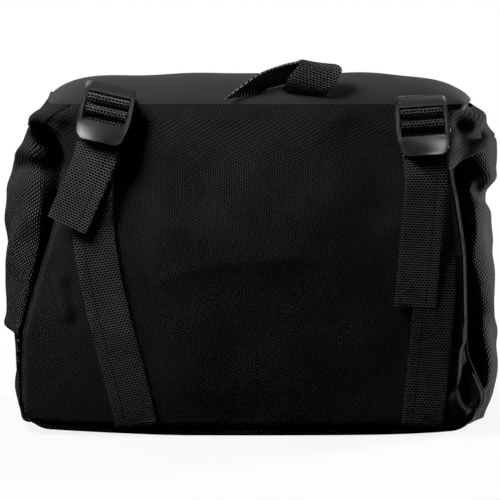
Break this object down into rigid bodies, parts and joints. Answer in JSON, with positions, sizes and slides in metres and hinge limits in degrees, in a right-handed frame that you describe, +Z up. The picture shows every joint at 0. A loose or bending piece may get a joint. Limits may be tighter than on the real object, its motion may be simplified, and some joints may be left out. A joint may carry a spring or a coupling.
{
  "type": "pannier bag",
  "caption": "Soft box pannier bag with a padded lid hinged at the rear, webbing closing straps in ladder-lock buckles, a webbing handle, and rack hooks on a stiffened back.",
  "frame": {"origin": "middle of the flat underside, on the surface that the bag stands on", "axes": "+Z up, +X to the right of a person who faces the strapped front, the front faces -Y and the rack side faces +Y"},
  "size_m": [0.3096, 0.1641, 0.22],
  "materials": {
    "front_weave": "black dobby-woven polyester, matt",
    "side_weave": "black coarse-woven polyester, matt",
    "lid_fabric": "black coated fabric, low sheen",
    "lid_foam": "black foam padding",
    "webbing": "black ribbed polypropylene webbing",
    "buckle_plastic": "black moulded acetal, satin gloss",
    "hook_plastic": "black moulded nylon, matt",
    "board_plastic": "black polyethylene board",
    "backing_aluminium": "plain mill finish",
    "rivet_steel": "nickel-plated, dulled"
  },
  "bodies": {
    "bag": {"front_panel": "front_weave", "left_side_panel": "side_weave", "right_side_panel": "side_weave", "base_panel": "side_weave", "back_panel": "front_weave", "front_welt": "front_weave", "back_welt": "front_weave", "mouth_hem": "front_weave", "back_board": "board_plastic", "base_board": "board_plastic", "left_strap": "webbing", "right_strap": "webbing", "left_hook": "hook_plastic", "right_hook": "hook_plastic", "hook_backing": "backing_aluminium", "hook_rivets": "rivet_steel", "ring_tab": "webbing"},
    "lid": {"lid_panel": "lid_fabric", "lid_pad": "lid_foam", "lid_binding": "lid_fabric", "lid_hinge": "lid_fabric"},
    "handle": {"handle": "webbing"},
    "left_buckle": {"left_buckle": "buckle_plastic", "left_anchor": "webbing", "left_strap_loop": "webbing"},
    "left_tail": {"left_tail": "webbing"},
    "right_buckle": {"right_buckle": "buckle_plastic", "right_anchor": "webbing", "right_strap_loop": "webbing"},
    "right_tail": {"right_tail": "webbing"},
    "d_ring": {"d_ring": "rivet_steel"}
  },
  "joints": [
    {"name": "lid_hinge", "type": "hinge", "parent": "bag", "child": "lid", "pos_m": [0, 0.0594, 0.1991], "axis": [-1, 0, 0], "range_deg": [0, 105]},
    {"name": "handle_swing", "type": "hinge", "parent": "lid", "child": "handle", "pos_m": [0.019, -0.0536, 0.20263], "axis": [1, 0, 0], "range_deg": [-15, 75]},
    {"name": "left_buckle_lift", "type": "hinge", "parent": "lid", "child": "left_buckle", "pos_m": [-0.0806, -0.05766, 0.2001], "axis": [-1, 0, 0], "range_deg": [0, 60]},
    {"name": "left_tail_swing", "type": "hinge", "parent": "left_buckle", "child": "left_tail", "pos_m": [-0.08849, -0.0739, 0.17428], "axis": [-0.9687, 0.1299, 0.2117], "range_deg": [0, 70]},
    {"name": "right_buckle_lift", "type": "hinge", "parent": "lid", "child": "right_buckle", "pos_m": [0.0968, -0.05704, 0.19998], "axis": [-1, 0, 0], "range_deg": [0, 60]},
    {"name": "right_tail_swing", "type": "hinge", "parent": "right_buckle", "child": "right_tail", "pos_m": [0.10086, -0.07373, 0.16653], "axis": [-0.9925, -0.1014, -0.0682], "range_deg": [0, 70]},
    {"name": "ring_swing", "type": "hinge", "parent": "bag", "child": "d_ring", "pos_m": [0, 0.0674, 0.036], "axis": [1, 0, 0], "range_deg": [0, 100]}
  ]
}
